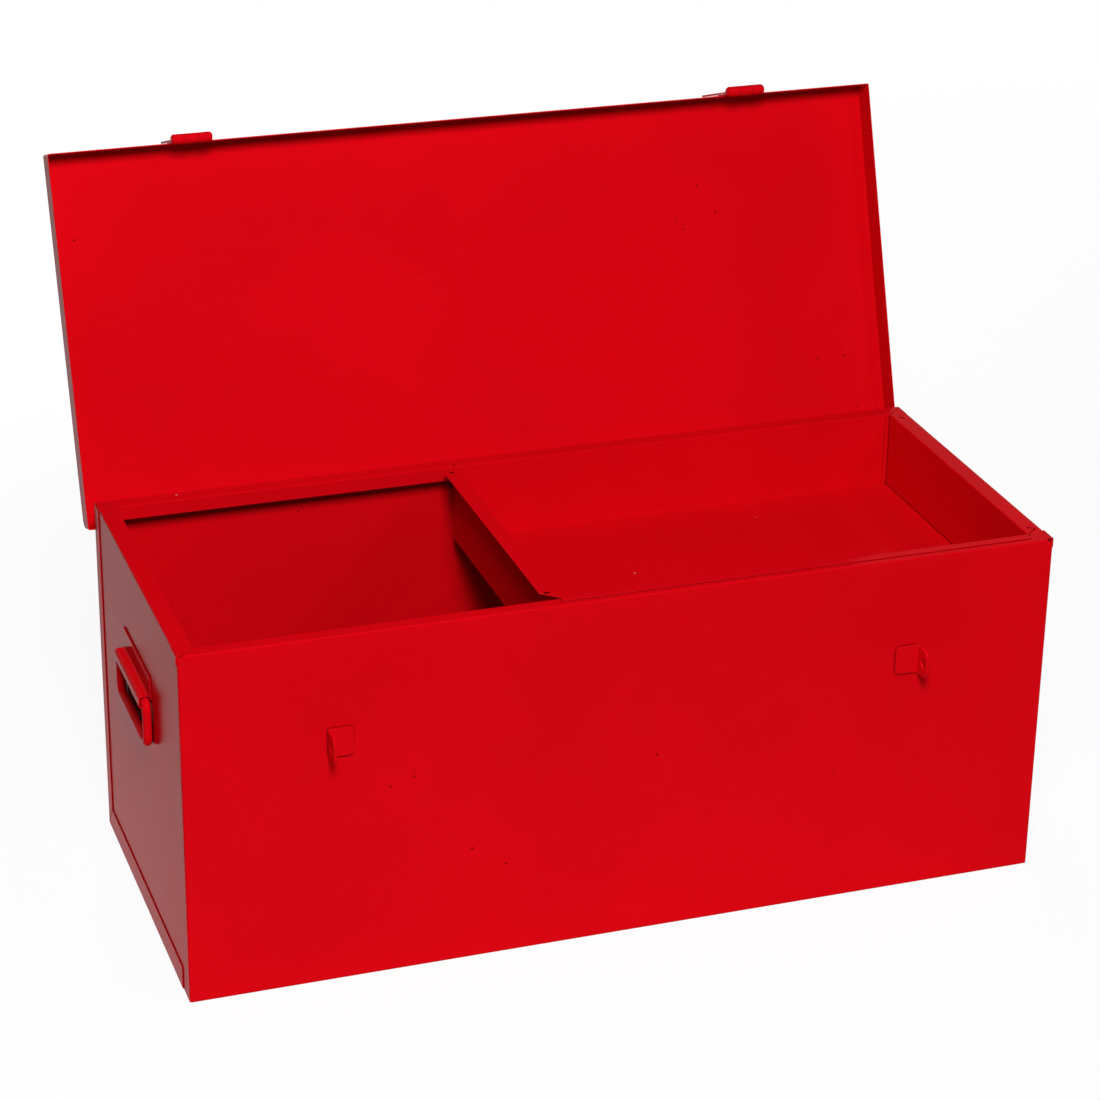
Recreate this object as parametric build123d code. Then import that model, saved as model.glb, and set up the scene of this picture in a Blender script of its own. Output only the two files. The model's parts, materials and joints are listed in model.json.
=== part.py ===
from build123d import *
import os

# Steel tool box: folded body sheets, a flanged lid on two rear hinges, two hasps with staples,
# a drop handle on each end and a lift-out tray that hangs on the rim.
# Millimetres. X runs to the right seen from the front, Y to the back, Z up.
# The origin is the middle of the base. The lid stands open, with its hasps folded back.

# Body sheets
body_width = 830.0
body_depth = 346.0
body_height = 345.0
body_sheet = 1.0
corner_radius = 2.0
rim_bend_radius = 1.4
rim_side_width = 17.0
rim_front_width = 14.0
rim_rear_width = 18.0
rim_lip_height = 14.0
rim_relief_radius = 2.2
rim_relief_inset = 3.4
rim_relief_setback = 1.6
corner_tab_length = 20.0
corner_tab_height = 9.0
seam_gap = 0.4
rear_strip_width = 18.0
floor_strip_height = 23.0
floor_strip_setback = 25.0
strip_bend_radius = 0.9
floor_upstand = 20.0

# Lid, sized over the body
lid_sheet = 1.0
lid_height = 26.7
lid_clearance = 4.4
lid_seat_gap = 0.5
lid_bend_radius = 2.0
lid_rear_radius = 10.0
lid_open_angle = 109.0

# Lift-out tray
tray_sheet = 1.0
tray_length = 463.0
tray_depth = 76.0
tray_clearance = 1.0
tray_bend_radius = 1.6
tray_lip_width = 8.0
tray_end_lip_width = 14.0
tray_hole_radius = 2.75
tray_hole_inset = 7.0
tray_hole_end_distance = 13.5

# Rear hinges
hinge_inset = 133.0
hinge_width = 60.0
hinge_leaf = 2.0
hinge_body_leaf_height = 28.0
hinge_lid_leaf_height = 28.0
hinge_pin_radius = 2.5
hinge_drop = 31.0
hinge_wall_gap = 0.4
hinge_stop_gap = 0.1
hinge_stop_length = 11.0
leaf_corner_radius = 3.0

# Hasps and staples
hasp_inset = 132.0
hasp_width = 37.0
hasp_strap_width = 24.0
hasp_leaf = 2.0
hasp_leaf_height = 24.0
hasp_pin_radius = 3.0
hasp_edge_gap = 0.45
hasp_leaf_gap = 0.2
hasp_tip_length = 10.0
hasp_tip_radius = 11.0
hasp_fold_angle = 180.0
staple_drop = 102.5
staple_width = 24.0
staple_height = 27.5
staple_sheet = 2.5
staple_fold_radius = 3.5
staple_corner_radius = 4.0
eye_reach = 22.0
eye_nose_radius = 8.0
eye_hole_radius = 4.5
eye_hole_distance = 14.5
eye_slot_clearance = 1.5

# Drop handles
handle_height = 243.7
handle_rod_radius = 4.5
handle_wall_gap = 0.2
handle_drop = 40.7
handle_width = 114.0
handle_top_bend = 6.0
handle_bottom_bend = 10.0
bracket_sheet = 1.5
bracket_plate_length = 115.0
bracket_plate_top = 26.0
bracket_end_gap = 1.0
bracket_clearance = 0.3
bracket_fold_radius = 2.0
bracket_channel_radius = 4.0
bracket_corner_radius = 5.0

# Fits shared by all pieces
pin_clearance = 0.05
pin_head_extra = 0.9
pin_head_thickness = 1.2
pin_head_round = 0.8
knuckle_end_round = 1.3
knuckle_gap = 0.3
knuckle_swing_gap = 0.6
overrun = 5.0

# Places worked out from the sizes above
half_width = body_width / 2
half_depth = body_depth / 2
mouth_x = half_width - rim_side_width
mouth_front = -half_depth + rim_front_width
mouth_rear = half_depth - rim_rear_width
lid_half_width = half_width + lid_clearance + lid_sheet
lid_half_depth = half_depth + lid_clearance + lid_sheet
lid_top = body_height + tray_sheet + lid_seat_gap + lid_sheet
lid_edge = lid_top - lid_height
knuckle_radius = hinge_pin_radius + pin_clearance + hinge_leaf
hinge_y = half_depth + hinge_wall_gap + knuckle_radius
hinge_z = body_height - hinge_drop
hinge_axis = Axis((0, hinge_y, hinge_z), (1, 0, 0))
hasp_knuckle_radius = hasp_pin_radius + pin_clearance + hasp_leaf
hasp_y = -lid_half_depth - hasp_leaf - hasp_leaf_gap - hasp_leaf / 2
hasp_z = lid_edge - hasp_edge_gap - hasp_knuckle_radius
hasp_axis = Axis((0, hasp_y, hasp_z), (1, 0, 0))
tray_right = mouth_x - tray_clearance
tray_left = tray_right - tray_length
tray_front = mouth_front + tray_clearance
tray_rear = mouth_rear - tray_clearance
tray_floor = body_height - tray_depth
handle_offset = handle_rod_radius + handle_wall_gap
staple_z = body_height - staple_drop
side_names = {-1: "left", 1: "right"}


def block(x_span, y_span, z_span):
    """A box between the two limits given on each axis."""
    spans = (x_span, y_span, z_span)
    middle = [(low + high) / 2 for low, high in spans]
    sizes = [high - low for low, high in spans]
    return Pos(*middle) * Box(*sizes)


def rod_along_x(radius, x_span, y, z):
    """A round bar along X between two limits."""
    length = x_span[1] - x_span[0]
    return Pos((x_span[0] + x_span[1]) / 2, y, z) * Rot(0, 90, 0) * Cylinder(radius, length)


def rod_with_round_end(radius, x_span, y, z, side, end_round):
    """A round bar along X, rounded at its left end for side -1 or at its right end for side 1."""
    rod = rod_along_x(radius, x_span, y, z)
    ends = rod.edges().filter_by(GeomType.CIRCLE).sort_by(Axis.X)
    return fillet(ends[0 if side < 0 else -1], end_round)


def plate_yz(points, x_span):
    """A plate with the given outline in Y and Z, between two limits on X."""
    face = Plane.YZ * make_face(Polyline(*points, close=True))
    return Pos(x_span[0], 0, 0) * extrude(face, x_span[1] - x_span[0], dir=(1, 0, 0))


def plate_xy(points, z_span):
    """A plate with the given outline in X and Y, between two limits on Z."""
    face = make_face(Polyline(*points, close=True))
    return Pos(0, 0, z_span[0]) * extrude(face, z_span[1] - z_span[0], dir=(0, 0, 1))


def long_edges(shape, axis, **place):
    """The straight edges along an axis with their middle at the given X, Y or Z, to within half a seam."""
    found = shape.edges().filter_by(axis)
    for name, value in place.items():
        found = found.filter_by(lambda edge: abs(getattr(edge.center(), name) - value) < seam_gap / 2)
    return found


def opened(shape):
    """A shape drawn on the closed lid, swung to the lid's open stand."""
    return shape.rotate(hinge_axis, -lid_open_angle)


# Body: one sheet wraps the left end, the front and the right end, with its rim folded in
def rear_rim_outline(gap):
    """The mitred plan of the rear rim inside the back wall, grown outwards by a gap."""
    wall = half_depth - body_sheet
    return [
        (-half_width - gap, wall),
        (half_width + gap, wall),
        (mouth_x + gap, mouth_rear - gap),
        (-mouth_x - gap, mouth_rear - gap),
    ]


def front_mitre(side):
    """The slit between the front rim and the rim of one end."""
    half_gap = seam_gap / 2
    outline = [
        (side * mouth_x, mouth_front - half_gap),
        (side * half_width, -half_depth - half_gap),
        (side * half_width, -half_depth + half_gap),
        (side * mouth_x, mouth_front + half_gap),
    ]
    return plate_xy(outline, (body_height - body_sheet, body_height + overrun))


def front_wrap():
    inner_x = half_width - body_sheet
    inner_y = half_depth - body_sheet
    under_rim = body_height - body_sheet
    shell = block((-half_width, half_width), (-half_depth, half_depth), (0, body_height))
    shell = fillet(long_edges(shell, Axis.Z, Y=-half_depth), corner_radius)
    back_edge = long_edges(shell, Axis.X, Y=half_depth, Z=body_height)
    rim_edges = shell.faces().sort_by(Axis.Z)[-1].edges() - back_edge
    shell = fillet(rim_edges, rim_bend_radius)
    shell -= block((-inner_x, inner_x), (-inner_y, half_depth), (-overrun, under_rim))
    shell -= block((-mouth_x, mouth_x), (mouth_front, mouth_rear), (0, body_height + overrun))
    shell -= block((-half_width, half_width), (inner_y, half_depth), (-overrun, body_height + overrun))
    shell -= plate_xy(rear_rim_outline(seam_gap), (under_rim, body_height + overrun))
    strip_front = -half_depth + floor_strip_setback - seam_gap
    tab_front = -half_depth + corner_radius
    lip_z = (body_height - rim_lip_height, under_rim)
    for side in side_names:
        wall = sorted((side * inner_x, side * half_width))
        shell -= block(wall, (strip_front, half_depth), (-overrun, body_sheet))
        lip = sorted((side * mouth_x, side * (mouth_x + body_sheet)))
        shell += block(lip, (mouth_front + seam_gap, mouth_rear - seam_gap), lip_z)
        shell -= front_mitre(side)
        relief = Pos(side * (half_width - rim_relief_inset), -half_depth + rim_relief_setback, body_height)
        shell -= relief * Cylinder(rim_relief_radius, 4 * body_sheet)
        tab = sorted((side * half_width, side * (half_width + body_sheet)))
        tab_z = (body_height - corner_tab_height, body_height)
        shell += block(tab, (tab_front, tab_front + corner_tab_length), tab_z)
    shell += block((-mouth_x + seam_gap, mouth_x - seam_gap), (mouth_front - body_sheet, mouth_front), lip_z)
    return shell


def back_panel():
    outer_x = half_width + body_sheet
    inner_y = half_depth - body_sheet
    under_rim = body_height - body_sheet
    across = (-half_width, half_width)
    panel = block(across, (inner_y, half_depth), (body_sheet, body_height))
    panel += block(across, (mouth_rear, half_depth), (under_rim, body_height))
    panel += block(across, (mouth_rear, mouth_rear + body_sheet), (body_height - rim_lip_height, body_height))
    panel = fillet(long_edges(panel, Axis.X, Y=half_depth, Z=body_height), rim_bend_radius)
    panel = fillet(long_edges(panel, Axis.X, Y=mouth_rear, Z=body_height), body_sheet)
    strip = [
        (half_depth, body_sheet),
        (half_depth, body_height - rim_bend_radius),
        (half_depth - rear_strip_width, body_height - rim_bend_radius),
        (half_depth - rear_strip_width, floor_strip_height + seam_gap),
    ]
    for side in side_names:
        corner = [
            (side * half_width, inner_y),
            (side * mouth_x, mouth_rear),
            (side * mouth_x, mouth_rear - overrun),
            (side * (half_width + overrun), mouth_rear - overrun),
            (side * (half_width + overrun), inner_y),
        ]
        panel -= plate_xy(corner, (body_height - rim_lip_height, body_height + overrun))
        panel += plate_yz(strip, sorted((side * half_width, side * outer_x)))
        panel = fillet(long_edges(panel, Axis.Z, X=side * outer_x, Y=half_depth), strip_bend_radius)
    return panel


def floor_panel():
    inner_x = half_width - body_sheet
    outer_x = half_width + body_sheet
    inner_y = half_depth - body_sheet
    strip_front = -half_depth + floor_strip_setback
    panel = block((-inner_x, inner_x), (-inner_y, half_depth), (0, body_sheet))
    panel += block((-outer_x, outer_x), (strip_front, half_depth), (0, body_sheet))
    strip = [
        (strip_front, 0),
        (half_depth - body_sheet, 0),
        (half_depth - rear_strip_width - seam_gap, floor_strip_height),
        (strip_front, floor_strip_height),
    ]
    for side in side_names:
        panel += plate_yz(strip, sorted((side * half_width, side * outer_x)))
        panel = fillet(long_edges(panel, Axis.Y, X=side * outer_x, Z=0), strip_bend_radius)
    for face in (-1, 1):
        upstand = sorted((face * inner_y, face * (inner_y - body_sheet)))
        panel += block((-inner_x, inner_x), upstand, (0, floor_upstand))
    return panel


# Lid: a shallow pan, drawn closed and swung open
def lid_block(inset):
    """The lid's outside, or the space inside it when it is inset by the sheet."""
    half_x = lid_half_width - inset
    half_y = lid_half_depth - inset
    top = lid_top - inset
    bottom = lid_edge - inset
    solid = block((-half_x, half_x), (-half_y, half_y), (bottom, top))
    solid = fillet(long_edges(solid, Axis.X, Y=half_y, Z=top), lid_rear_radius - inset)
    folds = long_edges(solid, Axis.X, Y=-half_y, Z=top)
    for end in solid.faces().filter_by(Axis.X):
        folds += end.edges() - long_edges(solid, Axis.Y, Z=bottom)
    return fillet(folds, lid_bend_radius - inset)


def lid_pan():
    return opened(lid_block(0) - lid_block(lid_sheet))


# Hinges: each has a leaf on the back, a leaf on the lid and a pin with two heads
def pin_along_x(radius, x_span, y, z):
    """A pin with a head at each end, just outside the knuckles that it holds."""
    pin = rod_along_x(radius, x_span, y, z)
    for side, end in zip(side_names, x_span):
        head_span = sorted((end, end + side * pin_head_thickness))
        pin += rod_with_round_end(radius + pin_head_extra, head_span, y, z, side, pin_head_round)
    return pin


def knuckle_spans(middle, width):
    """The X limits of three knuckles side by side."""
    third = width / 3
    left = middle - width / 2
    right = middle + width / 2
    centre = (left + third + knuckle_gap / 2, right - third - knuckle_gap / 2)
    return (left, left + third - knuckle_gap / 2), centre, (right - third + knuckle_gap / 2, right)


def hinge_body_leaf(middle):
    left, centre, right = knuckle_spans(middle, hinge_width)
    leaf_y = (half_depth, half_depth + hinge_leaf)
    leaf = block((left[0], right[1]), leaf_y, (hinge_z - hinge_body_leaf_height, hinge_z))
    leaf = fillet(long_edges(leaf, Axis.Y, Z=hinge_z - hinge_body_leaf_height), leaf_corner_radius)
    room = (centre[0] - knuckle_gap, centre[1] + knuckle_gap)
    shoulder = hinge_z - knuckle_radius - knuckle_swing_gap
    leaf -= block(room, (half_depth - overrun, hinge_y), (shoulder, hinge_z))
    for side, span in zip(side_names, (left, right)):
        leaf += rod_with_round_end(knuckle_radius, span, hinge_y, hinge_z, side, knuckle_end_round)
    bore = (left[0] - overrun, right[1] + overrun)
    return leaf - rod_along_x(hinge_pin_radius + pin_clearance, bore, hinge_y, hinge_z)


def hinge_lid_leaf(middle):
    left, centre, right = knuckle_spans(middle, hinge_width)
    leaf_y = (lid_half_depth, lid_half_depth + hinge_leaf)
    shoulder = hinge_z + knuckle_radius + knuckle_swing_gap
    top = hinge_z + hinge_lid_leaf_height
    leaf = block((left[0], right[1]), leaf_y, (shoulder, top))
    leaf = fillet(long_edges(leaf, Axis.Y, Z=top), leaf_corner_radius)
    leaf += block(centre, leaf_y, (hinge_z, shoulder))
    leaf += rod_along_x(knuckle_radius, centre, hinge_y, hinge_z)
    leaf = opened(leaf)
    stop_front = half_depth + hinge_leaf + hinge_stop_gap
    leaf += block(centre, (stop_front, stop_front + hinge_leaf), (hinge_z - hinge_stop_length, hinge_z))
    return leaf - rod_along_x(hinge_pin_radius + pin_clearance, (left[0], right[1]), hinge_y, hinge_z)


def hinge_pin(middle):
    span = (middle - hinge_width / 2, middle + hinge_width / 2)
    return pin_along_x(hinge_pin_radius, span, hinge_y, hinge_z)


# Hasps: each has a leaf on the lid's front flange, a slotted strap and a pin
def hasp_leaf_plate(middle):
    left, centre, right = knuckle_spans(middle, hasp_width)
    leaf_y = (-lid_half_depth - hasp_leaf, -lid_half_depth)
    top = lid_edge + hasp_leaf_height
    leaf = block((left[0], right[1]), leaf_y, (hasp_z, top))
    leaf = fillet(long_edges(leaf, Axis.Y, Z=top), leaf_corner_radius)
    room = (centre[0] - knuckle_gap, centre[1] + knuckle_gap)
    clear = hasp_z + hasp_knuckle_radius + knuckle_swing_gap
    leaf -= block(room, (hasp_y - hasp_knuckle_radius, leaf_y[1] + overrun), (hasp_z, clear))
    for side, span in zip(side_names, (left, right)):
        leaf += rod_with_round_end(hasp_knuckle_radius, span, hasp_y, hasp_z, side, knuckle_end_round)
    bore = (left[0] - overrun, right[1] + overrun)
    return opened(leaf - rod_along_x(hasp_pin_radius + pin_clearance, bore, hasp_y, hasp_z))


def hasp_strap(middle):
    left, centre, right = knuckle_spans(middle, hasp_width)
    slot_top = staple_z + staple_height / 2 + eye_slot_clearance
    slot_bottom = staple_z - staple_height / 2 - eye_slot_clearance
    bottom = slot_bottom - hasp_tip_length
    shoulder = hasp_z - hasp_knuckle_radius - knuckle_swing_gap
    strap_y = (hasp_y - hasp_leaf / 2, hasp_y + hasp_leaf / 2)
    half_strap = hasp_strap_width / 2
    strap = block((middle - half_strap, middle + half_strap), strap_y, (bottom, shoulder))
    strap = fillet(long_edges(strap, Axis.Y, Z=bottom), hasp_tip_radius)
    strap = fillet(long_edges(strap, Axis.Y, Z=shoulder), leaf_corner_radius)
    strap += block(centre, strap_y, (shoulder, hasp_z))
    strap += rod_along_x(hasp_knuckle_radius, centre, hasp_y, hasp_z)
    half_slot = staple_sheet / 2 + eye_slot_clearance
    slot = (middle - half_slot, middle + half_slot)
    strap -= block(slot, (strap_y[0] - overrun, strap_y[1] + overrun), (slot_bottom, slot_top))
    strap -= rod_along_x(hasp_pin_radius + pin_clearance, (left[0], right[1]), hasp_y, hasp_z)
    return opened(strap.rotate(hasp_axis, hasp_fold_angle))


def hasp_pin(middle):
    span = (middle - hasp_width / 2, middle + hasp_width / 2)
    return opened(pin_along_x(hasp_pin_radius, span, hasp_y, hasp_z))


# Staples: each is one folded sheet, a plate on the front and a pierced eye that stands out from its outer edge
def staple(middle, side):
    face_y = -half_depth - staple_sheet
    nose_y = -half_depth - eye_reach
    outer_x = middle + side * staple_sheet / 2
    fold_x = middle - side * staple_sheet / 2
    edge_x = outer_x - side * staple_width
    height = (staple_z - staple_height / 2, staple_z + staple_height / 2)
    angle = block(sorted((edge_x, outer_x)), (face_y, -half_depth), height)
    angle = fillet(long_edges(angle, Axis.Y, X=edge_x), staple_corner_radius)
    eye = block(sorted((fold_x, outer_x)), (nose_y, -half_depth), height)
    angle += fillet(long_edges(eye, Axis.X, Y=nose_y), eye_nose_radius)
    angle = fillet(long_edges(angle, Axis.Z, X=outer_x, Y=-half_depth), staple_fold_radius)
    angle = fillet(long_edges(angle, Axis.Z, X=fold_x, Y=face_y), staple_fold_radius - staple_sheet)
    hole = sorted((fold_x - side * overrun, outer_x + side * overrun))
    return angle - rod_along_x(eye_hole_radius, hole, -half_depth - eye_hole_distance, staple_z)


# Drop handles: a channel-shaped bracket on each end and a bail of round bar, drawn on the left end
def handle_bracket(side):
    wall = -half_width
    axis_x = wall - handle_offset
    outer = handle_rod_radius + bracket_clearance + bracket_sheet
    channel_length = handle_width - 2 * (handle_rod_radius + bracket_end_gap)
    channel_y = (-channel_length / 2, channel_length / 2)
    plate_y = (-bracket_plate_length / 2, bracket_plate_length / 2)
    top = handle_height + bracket_plate_top
    shelf = handle_height + outer
    plate = block((wall - bracket_sheet, wall), plate_y, (shelf - bracket_sheet, top))
    plate = fillet(long_edges(plate, Axis.X, Z=top), bracket_corner_radius)
    low = handle_height - outer
    lip_x = axis_x - outer
    channel = block((lip_x, wall), channel_y, (low, shelf))
    channel = fillet(long_edges(channel, Axis.Y, X=lip_x), bracket_channel_radius)
    inner_x = lip_x + bracket_sheet
    hollow = block((inner_x, wall), channel_y, (low + bracket_sheet, shelf - bracket_sheet))
    hollow = fillet(long_edges(hollow, Axis.Y, X=inner_x), bracket_channel_radius - bracket_sheet)
    channel -= hollow
    channel -= block((axis_x, wall), channel_y, (low, low + bracket_sheet))
    bracket = plate + channel
    bracket = fillet(long_edges(bracket, Axis.Y, X=wall - bracket_sheet, Z=shelf), bracket_fold_radius)
    return bracket if side < 0 else mirror(bracket, about=Plane.YZ)


def handle_bail(side):
    x = -half_width - handle_offset
    half = handle_width / 2
    low = handle_height - handle_drop
    corners = [(x, -half, handle_height), (x, half, handle_height), (x, half, low), (x, -half, low)]
    bends = [handle_top_bend, handle_top_bend, handle_bottom_bend, handle_bottom_bend]
    path = FilletPolyline(*corners, radius=bends, close=True)
    section = Plane(path @ 0, z_dir=path % 0) * Circle(handle_rod_radius)
    bail = sweep(section, path=path)
    return bail if side < 0 else mirror(bail, about=Plane.YZ)


# Tray: a folded trough with lips on the front and rear rims, closed by two lipped ends
def tray_trough():
    span = (tray_left + tray_sheet, tray_right - tray_sheet)
    top = body_height + tray_sheet
    walls = ((tray_front, 1), (tray_rear, -1))
    trough = block(span, (tray_front, tray_rear), (tray_floor, top))
    for wall, inward in walls:
        trough = fillet(long_edges(trough, Axis.X, Y=wall, Z=tray_floor), tray_bend_radius)
    inside = (tray_front + tray_sheet, tray_rear - tray_sheet)
    trough -= block(span, inside, (tray_floor + tray_sheet, top + overrun))
    for wall, inward in walls:
        inner_y = wall + inward * tray_sheet
        trough += block(span, sorted((inner_y, wall - inward * tray_lip_width)), (body_height, top))
        trough = fillet(long_edges(trough, Axis.X, Y=inner_y, Z=top), tray_sheet)
    return trough


def tray_end(side):
    outer_x = tray_right if side > 0 else tray_left
    inner_x = outer_x - side * tray_sheet
    lip_x = outer_x + side * tray_end_lip_width
    top = body_height + tray_sheet
    end = block(sorted((inner_x, outer_x)), (tray_front, tray_rear), (tray_floor, top))
    outline = [
        (inner_x, tray_front),
        (lip_x, tray_front + tray_end_lip_width),
        (lip_x, tray_rear - tray_end_lip_width),
        (inner_x, tray_rear),
    ]
    end += plate_xy(outline, (body_height, top))
    end = fillet(long_edges(end, Axis.Y, X=inner_x, Z=top), tray_sheet)
    for hole_y in (tray_front + tray_hole_end_distance, tray_rear - tray_hole_end_distance):
        hole = Pos(outer_x + side * tray_hole_inset, hole_y, body_height)
        end -= hole * Cylinder(tray_hole_radius, overrun)
    return end


# Every piece, in the order in which the box goes together
pieces = {
    "front_wrap": front_wrap(),
    "back_panel": back_panel(),
    "floor_panel": floor_panel(),
    "lid_pan": lid_pan(),
    "tray_trough": tray_trough(),
}
for side, name in side_names.items():
    hinge_x = side * (half_width - hinge_inset)
    hasp_x = side * (half_width - hasp_inset)
    pieces["hinge_body_leaf_" + name] = hinge_body_leaf(hinge_x)
    pieces["hinge_lid_leaf_" + name] = hinge_lid_leaf(hinge_x)
    pieces["hinge_pin_" + name] = hinge_pin(hinge_x)
    pieces["hasp_leaf_" + name] = hasp_leaf_plate(hasp_x)
    pieces["hasp_strap_" + name] = hasp_strap(hasp_x)
    pieces["hasp_pin_" + name] = hasp_pin(hasp_x)
    pieces["staple_" + name] = staple(hasp_x, side)
    pieces["handle_bracket_" + name] = handle_bracket(side)
    pieces["handle_bail_" + name] = handle_bail(side)
    pieces["tray_end_" + name] = tray_end(side)

os.makedirs("parts", exist_ok=True)
for name, shape in pieces.items():
    export_step(shape, "parts/" + name + ".step")
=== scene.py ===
import json
from math import radians

import bmesh
import bpy
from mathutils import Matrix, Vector


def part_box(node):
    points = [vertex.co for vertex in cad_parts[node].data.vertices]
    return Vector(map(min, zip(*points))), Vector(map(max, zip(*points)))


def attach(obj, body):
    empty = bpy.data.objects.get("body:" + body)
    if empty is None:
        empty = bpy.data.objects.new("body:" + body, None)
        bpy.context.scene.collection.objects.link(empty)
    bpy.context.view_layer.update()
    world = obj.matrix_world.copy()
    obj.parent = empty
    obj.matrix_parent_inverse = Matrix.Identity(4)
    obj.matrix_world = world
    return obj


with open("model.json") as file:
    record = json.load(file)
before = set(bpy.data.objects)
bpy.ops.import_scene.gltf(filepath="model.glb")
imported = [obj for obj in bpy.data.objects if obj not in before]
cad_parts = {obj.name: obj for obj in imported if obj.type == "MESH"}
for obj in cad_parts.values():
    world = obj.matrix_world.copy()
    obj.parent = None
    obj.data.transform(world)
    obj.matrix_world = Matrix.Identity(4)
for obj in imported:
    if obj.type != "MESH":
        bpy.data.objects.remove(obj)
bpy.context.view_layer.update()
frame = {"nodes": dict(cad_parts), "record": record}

# camera, in metres and degrees
camera_place = (-0.9256, -2.5978, 1.5689)
camera_turn = (65.536, -0.776, -18.870)
camera_lens = 105.48
sensor_width = 36.0

# lamps: place, point aimed at and size in metres, power in watts
key_lamp = {
    "place": (-0.62, -2.1, 2.4),
    "aim": (0.0, 0.05, 0.35),
    "size": (0.7, 0.9),
    "power": 93.0,
}
fill_lamp = {
    "place": (1.6, -1.6, 2.4),
    "aim": (0.1, 0.0, 0.35),
    "size": (0.6, 0.6),
    "power": 12.0,
}
back_lamp = {
    "place": (0.0, 2.6, 0.8),
    "aim": (0.0, 0.2, 0.35),
    "size": (0.8, 0.6),
    "power": 40.0,
}

# surroundings: white where they are seen, faint as a light
white = (1.0, 1.0, 1.0, 1.0)
sky_fill = 0.02

# floor: a patch round the box sends light up, and the glow that is seen grows to white far off
floor_half_size = 14.0
floor_drop = 0.0005
floor_colour = (0.95, 0.95, 0.95, 1.0)
floor_bounce_reach = (1.6, 0.62)
floor_bounce_edge = (0.9, 1.1)
floor_bounce = (0.82, 0.15)
floor_glow_fade = (1.0, 4.0)
floor_glow_share = (0.91, 1.0)

# enamel: colours and gloss
enamel_red = (0.66, 0.0016, 0.006)
shaded_share = 0.9
# dark speck colour, also used for the painted shade in seams, slits and holes
speck_and_shade_colour = (0.03, 0.002, 0.003, 1.0)
# pale nib colour: a painted glint of light on a dust nib
nib_glint_colour = (0.8, 0.4, 0.42, 1.0)
# brighter red for the edges: a painted highlight, partly rubbed wear
edge_highlight_colour = (0.85, 0.012, 0.022, 1.0)
scuff_colour = (0.72, 0.03, 0.035, 1.0)
enamel_ior = 1.05

# enamel: broad clouds in the tone and the gloss
cloud_scale = 4.5
cloud_detail = 3.0
cloud_roughness = 0.55
cloud_tone_span = (0.3, 0.6)
cloud_gloss_span = (0.3, 0.7)
gloss_spread = 0.08

# enamel: fine grain in the tone and the orange peel
grain_scale = 420.0
grain_detail = 2.0
grain_span = (0.3, 0.7)
grain_lightness = (0.6, 1.0)
peel_depth = 0.0004

# enamel: dust specks in dusty patches, some of them pale nibs, whose pale colour is a painted glint
dust_scale = 55.0
speck_edge = (0.05, 0.08)
dusty_scale = 9.0
dusty_detail = 1.0
dusty_edge = (0.62, 0.68)
speck_strength = 0.8
nib_glint_limit = (0.34, 0.35)

# enamel: fine scuffs in rubbed patches
rubbed_scale = 6.0
rubbed_detail = 2.0
scuff_turn = (0.5, 0.9, 0.35)
scuff_stretch = (7.0, 7.0, 340.0)
scuff_scale = 1.0
scuff_detail = 1.0
scuff_edge = (0.72, 0.78)
scuff_patch_edge = (0.55, 0.68)

# enamel: round edges, painted brighter: a painted highlight along every edge, read as rubbed wear
# and stronger in the rubbed patches
edge_round = 0.0007
edge_samples = 4
edge_turn = (0.98, 0.8)
edge_wear_and_highlight = 0.7
edge_patch_edge = (0.35, 0.6)
edge_patch_highlight_and_wear = (0.4, 1.0)

# enamel: painted shade, dark lines where pieces meet and in slits and holes, from ambient occlusion
shade_reach = 0.0025
shade_samples = 8
seam_shade_span = (0.12, 0.45)
seam_shade_strength = 0.55
slit_shade_span = (0.2, 0.46)
slit_shade_strength = 0.9

# edges of the tray's ends that are folded along its long walls
weld_tab_width = 0.0045
weld_tab_sheet = 0.0008
weld_tab_round = 0.0003
weld_tab_round_steps = 3
weld_tab_gap = 0.0035
tray_wall_inset = 0.009


def add(tree, kind, **values):
    """Adds a shader node and sets its sockets by name, with _ for a space."""
    node = tree.nodes.new(kind)
    for name, value in values.items():
        node.inputs[name.replace("_", " ")].default_value = value
    return node


def texture(tree, kind, place, **values):
    """Adds a texture that reads its place on the piece."""
    node = add(tree, kind, **values)
    tree.links.new(place, node.inputs["Vector"])
    return node


def band(tree, source, span, result):
    """Turns the source's values over a span into the result's two values, clamped."""
    node = add(
        tree,
        "ShaderNodeMapRange",
        From_Min=span[0],
        From_Max=span[1],
        To_Min=result[0],
        To_Max=result[1],
    )
    tree.links.new(source, node.inputs["Value"])
    return node.outputs["Result"]


def maths(tree, operation, first, second):
    """Joins two values by a plain operation."""
    node = add(tree, "ShaderNodeMath")
    node.operation = operation
    tree.links.new(first, node.inputs[0])
    tree.links.new(second, node.inputs[1])
    return node.outputs["Value"]


def tint(tree, amount, under, colour):
    """Lays a colour over the colour below by an amount from a texture."""
    node = add(tree, "ShaderNodeMix")
    node.data_type = "RGBA"
    tree.links.new(amount, node.inputs["Factor"])
    tree.links.new(under, node.inputs[6])
    node.inputs[7].default_value = colour
    return node.outputs[2]


def sprayed_red(tree, clouds, grain):
    """Red that is a little darker in broad clouds and in a fine grain."""
    shade = add(tree, "ShaderNodeMix")
    shade.data_type = "RGBA"
    shade.inputs[6].default_value = tuple(shaded_share * c for c in enamel_red) + (1.0,)
    shade.inputs[7].default_value = enamel_red + (1.0,)
    broad = band(tree, clouds, cloud_tone_span, (0.0, 1.0))
    fine = band(tree, grain, grain_span, grain_lightness)
    tree.links.new(maths(tree, "MULTIPLY", broad, fine), shade.inputs["Factor"])
    return shade.outputs[2]


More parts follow.
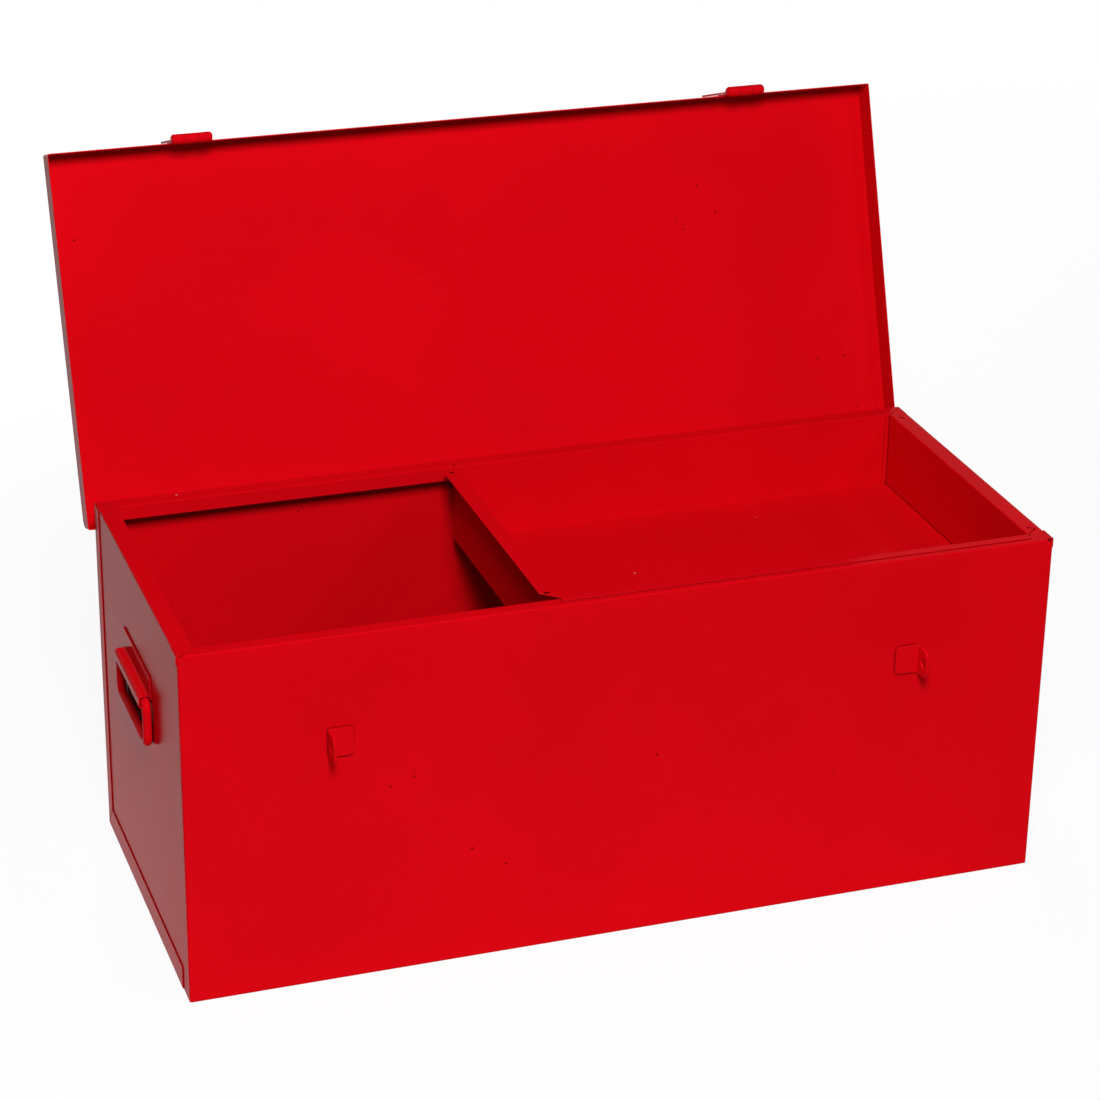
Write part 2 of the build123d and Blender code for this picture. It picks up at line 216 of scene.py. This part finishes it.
def fine_scuffs(tree, place, rubbed, strength):
    """Fine straight lines, only in the rubbed patches."""
    stroke = add(tree, "ShaderNodeMapping", Rotation=scuff_turn, Scale=scuff_stretch)
    tree.links.new(place, stroke.inputs["Vector"])
    lines = texture(
        tree,
        "ShaderNodeTexNoise",
        stroke.outputs["Vector"],
        Scale=scuff_scale,
        Detail=scuff_detail,
    )
    drawn = band(tree, lines.outputs["Fac"], scuff_edge, (0.0, strength))
    patches = band(tree, rubbed, scuff_patch_edge, (0.0, 1.0))
    return maths(tree, "MULTIPLY", drawn, patches)


def worn_and_lit_edges(tree, rounded, rubbed):
    """Painted highlight and wear where the round edge turns away from the flat face, most of all in
    the rubbed patches.
    """
    turned = add(tree, "ShaderNodeVectorMath")
    turned.operation = "DOT_PRODUCT"
    tree.links.new(rounded, turned.inputs[0])
    tree.links.new(add(tree, "ShaderNodeNewGeometry").outputs["Normal"], turned.inputs[1])
    edges = band(tree, turned.outputs["Value"], edge_turn, (0.0, edge_wear_and_highlight))
    patches = band(tree, rubbed, edge_patch_edge, edge_patch_highlight_and_wear)
    return maths(tree, "MULTIPLY", edges, patches)


def dust_specks(tree, place):
    """All specks of dust in the dusty patches, and then the pale ones among them, whose pale colour
    is a painted glint on the nib.
    """
    dust = texture(tree, "ShaderNodeTexVoronoi", place, Scale=dust_scale)
    dusty = texture(tree, "ShaderNodeTexNoise", place, Scale=dusty_scale, Detail=dusty_detail)
    dots = band(tree, dust.outputs["Distance"], speck_edge, (1.0, 0.0))
    patches = band(tree, dusty.outputs["Fac"], dusty_edge, (0.0, speck_strength))
    specks = maths(tree, "MULTIPLY", dots, patches)
    pale = band(tree, dust.outputs["Color"], nib_glint_limit, (1.0, 0.0))
    return specks, maths(tree, "MULTIPLY", specks, pale)


def painted_shade_between_pieces(tree):
    """Painted shade: strong in slits, in holes and along another piece that touches, 0 on faces and
    in bends.
    """
    around = add(tree, "ShaderNodeAmbientOcclusion", Distance=shade_reach)
    alone = add(tree, "ShaderNodeAmbientOcclusion", Distance=shade_reach)
    alone.only_local = True
    for node in (around, alone):
        node.samples = shade_samples
    touched = maths(tree, "SUBTRACT", alone.outputs["AO"], around.outputs["AO"])
    edges = band(tree, touched, seam_shade_span, (0.0, seam_shade_strength))
    slits = band(tree, around.outputs["AO"], slit_shade_span, (slit_shade_strength, 0.0))
    return maths(tree, "MAXIMUM", edges, slits)


def enamel(name, gloss, peel, scuffs):
    """Sprayed red enamel with scuffs, dust and orange peel, rubbed edges with a painted highlight,
    pale nibs painted as glints, and painted shade in seams, slits and holes.
    """
    material = bpy.data.materials.new(name)
    material.use_nodes = True
    tree = material.node_tree
    shader = tree.nodes["Principled BSDF"]
    shader.inputs["IOR"].default_value = enamel_ior
    place = add(tree, "ShaderNodeTexCoord").outputs["Object"]

    clouds = texture(
        tree,
        "ShaderNodeTexNoise",
        place,
        Scale=cloud_scale,
        Detail=cloud_detail,
        Roughness=cloud_roughness,
    ).outputs["Fac"]
    grain = texture(
        tree, "ShaderNodeTexNoise", place, Scale=grain_scale, Detail=grain_detail
    ).outputs["Fac"]
    rubbed = texture(
        tree, "ShaderNodeTexNoise", place, Scale=rubbed_scale, Detail=rubbed_detail
    ).outputs["Fac"]
    edge = add(tree, "ShaderNodeBevel", Radius=edge_round)
    edge.samples = edge_samples
    rounded = edge.outputs["Normal"]

    specks, nib_glints = dust_specks(tree, place)
    colour = sprayed_red(tree, clouds, grain)
    colour = tint(tree, fine_scuffs(tree, place, rubbed, scuffs), colour, scuff_colour)
    # edges painted brighter: a painted highlight, partly rubbed wear
    colour = tint(tree, worn_and_lit_edges(tree, rounded, rubbed), colour, edge_highlight_colour)
    colour = tint(tree, specks, colour, speck_and_shade_colour)
    # pale nibs: painted glints
    colour = tint(tree, nib_glints, colour, nib_glint_colour)
    # painted shade in seams, slits and holes, in the dark speck colour
    colour = tint(tree, painted_shade_between_pieces(tree), colour, speck_and_shade_colour)
    tree.links.new(colour, shader.inputs["Base Color"])

    rough = band(tree, clouds, cloud_gloss_span, (gloss, gloss + gloss_spread))
    tree.links.new(rough, shader.inputs["Roughness"])

    bump = add(tree, "ShaderNodeBump", Strength=peel, Distance=peel_depth)
    tree.links.new(grain, bump.inputs["Height"])
    tree.links.new(rounded, bump.inputs["Normal"])
    tree.links.new(bump.outputs["Normal"], shader.inputs["Normal"])
    return material


def weld_tab(name, size, middle, finish):
    """One folded edge with round corners, on the tray."""
    shape = bmesh.new()
    bmesh.ops.create_cube(shape, size=1.0)
    bmesh.ops.scale(shape, vec=size, verts=shape.verts)
    bmesh.ops.translate(shape, vec=middle, verts=shape.verts)
    bmesh.ops.bevel(
        shape,
        geom=shape.edges[:],
        offset=weld_tab_round,
        affect="EDGES",
        segments=weld_tab_round_steps,
        profile=0.5,
        material=-1,
    )
    mesh = bpy.data.meshes.new(name)
    shape.to_mesh(mesh)
    shape.free()
    mesh.materials.append(finish)
    tab = bpy.data.objects.new(name, mesh)
    bpy.context.scene.collection.objects.link(tab)
    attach(tab, "tray")


def weld_tabs(finish):
    """The upright edges of the tray's ends, folded along the tray's long walls and welded there."""
    low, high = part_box("tray_trough")
    ends = (("left", low.x, 1.0), ("right", high.x, -1.0))
    walls = (("front", low.y + tray_wall_inset, 1.0), ("rear", high.y - tray_wall_inset, -1.0))
    size = (weld_tab_width, weld_tab_sheet, high.z - low.z - 2.0 * weld_tab_gap)
    for end, end_x, along in ends:
        for wall, wall_y, inside in walls:
            middle = (
                end_x + along * weld_tab_width / 2.0,
                wall_y + inside * weld_tab_sheet / 2.0,
                (low.z + high.z) / 2.0,
            )
            weld_tab("tray_weld_tab_" + wall + "_" + end, size, middle, finish)


def seen_directly(tree):
    """1 for what the camera, a reflection or glass sees, and 0 for light on a surface."""
    path = add(tree, "ShaderNodeLightPath")
    seen = path.outputs["Is Camera Ray"]
    for ray in ("Is Glossy Ray", "Is Transmission Ray"):
        seen = maths(tree, "MAXIMUM", seen, path.outputs[ray])
    return seen


def white_surroundings():
    """White to look at, with only a faint light of its own."""
    world = bpy.data.worlds.new("white_surroundings")
    world.use_nodes = True
    tree = world.node_tree
    background = tree.nodes["Background"]
    background.inputs["Color"].default_value = white
    strength = band(tree, seen_directly(tree), (0.0, 1.0), (sky_fill, 1.0))
    tree.links.new(strength, background.inputs["Strength"])
    bpy.context.scene.world = world


def floor_distance(tree):
    """How far off the floor's point is, 1 at the end of the patch that sends light up."""
    across, along = floor_bounce_reach
    place = add(tree, "ShaderNodeTexCoord").outputs["Object"]
    scale = add(tree, "ShaderNodeMapping", Scale=(1.0 / across, 1.0 / along, 0.0))
    tree.links.new(place, scale.inputs["Vector"])
    distance = add(tree, "ShaderNodeVectorMath")
    distance.operation = "LENGTH"
    tree.links.new(scale.outputs["Vector"], distance.inputs[0])
    return distance.outputs["Value"]


def floor_finish():
    """Pale with the box's shadow where it is seen, and elsewhere a plain bounce of light."""
    material = bpy.data.materials.new("studio_floor")
    material.use_nodes = True
    tree = material.node_tree
    tree.nodes.remove(tree.nodes["Principled BSDF"])
    distance = floor_distance(tree)
    matt = add(tree, "ShaderNodeBsdfDiffuse", Color=floor_colour)
    glow = add(tree, "ShaderNodeEmission", Strength=1.0)
    pale = add(tree, "ShaderNodeMixShader")
    tree.links.new(band(tree, distance, floor_glow_fade, floor_glow_share), pale.inputs["Fac"])
    tree.links.new(matt.outputs["BSDF"], pale.inputs[1])
    tree.links.new(glow.outputs["Emission"], pale.inputs[2])
    bounce = add(tree, "ShaderNodeBsdfDiffuse")
    tree.links.new(band(tree, distance, floor_bounce_edge, floor_bounce), bounce.inputs["Color"])
    whole = add(tree, "ShaderNodeMixShader")
    tree.links.new(seen_directly(tree), whole.inputs["Fac"])
    tree.links.new(bounce.outputs["BSDF"], whole.inputs[1])
    tree.links.new(pale.outputs["Shader"], whole.inputs[2])
    tree.links.new(whole.outputs["Shader"], tree.nodes["Material Output"].inputs["Surface"])
    return material


def studio_floor():
    """A wide flat floor just under the box."""
    shape = bmesh.new()
    bmesh.ops.create_grid(shape, x_segments=1, y_segments=1, size=floor_half_size)
    bmesh.ops.translate(shape, vec=(0.0, 0.0, -floor_drop), verts=shape.verts)
    mesh = bpy.data.meshes.new("studio_floor")
    shape.to_mesh(mesh)
    shape.free()
    mesh.materials.append(floor_finish())
    floor = bpy.data.objects.new("studio_floor", mesh)
    bpy.context.scene.collection.objects.link(floor)


def soft_box(name, place, aim, size, power):
    """A flat lamp that shines from its place to the point aimed at."""
    lamp = bpy.data.lights.new(name, "AREA")
    lamp.shape = "RECTANGLE"
    lamp.size, lamp.size_y = size
    lamp.energy = power
    holder = bpy.data.objects.new(name, lamp)
    holder.location = place
    holder.rotation_euler = (Vector(place) - Vector(aim)).to_track_quat("Z", "Y").to_euler()
    holder.visible_camera = False
    bpy.context.scene.collection.objects.link(holder)


def photo_camera():
    """The camera at the photograph's viewing angle."""
    camera = bpy.data.cameras.new("photo_camera")
    camera.lens = camera_lens
    camera.sensor_width = sensor_width
    holder = bpy.data.objects.new("photo_camera", camera)
    holder.location = camera_place
    holder.rotation_euler = [radians(a) for a in camera_turn]
    bpy.context.scene.collection.objects.link(holder)
    bpy.context.scene.camera = holder


finishes = {
    "sheet_enamel": enamel("sheet_enamel", gloss=0.12, peel=0.06, scuffs=0.2),
    "hardware_enamel": enamel("hardware_enamel", gloss=0.08, peel=0.08, scuffs=0.3),
}
for subpart in frame["record"]["subparts"]:
    node = frame["nodes"][subpart["node"]]
    node.data.materials.clear()
    node.data.materials.append(finishes[subpart["material_slot"]])

weld_tabs(finishes["sheet_enamel"])

white_surroundings()
studio_floor()
soft_box("key_lamp", **key_lamp)
soft_box("fill_lamp", **fill_lamp)
soft_box("back_lamp", **back_lamp)
photo_camera()
bpy.context.scene.view_settings.view_transform = "Standard"
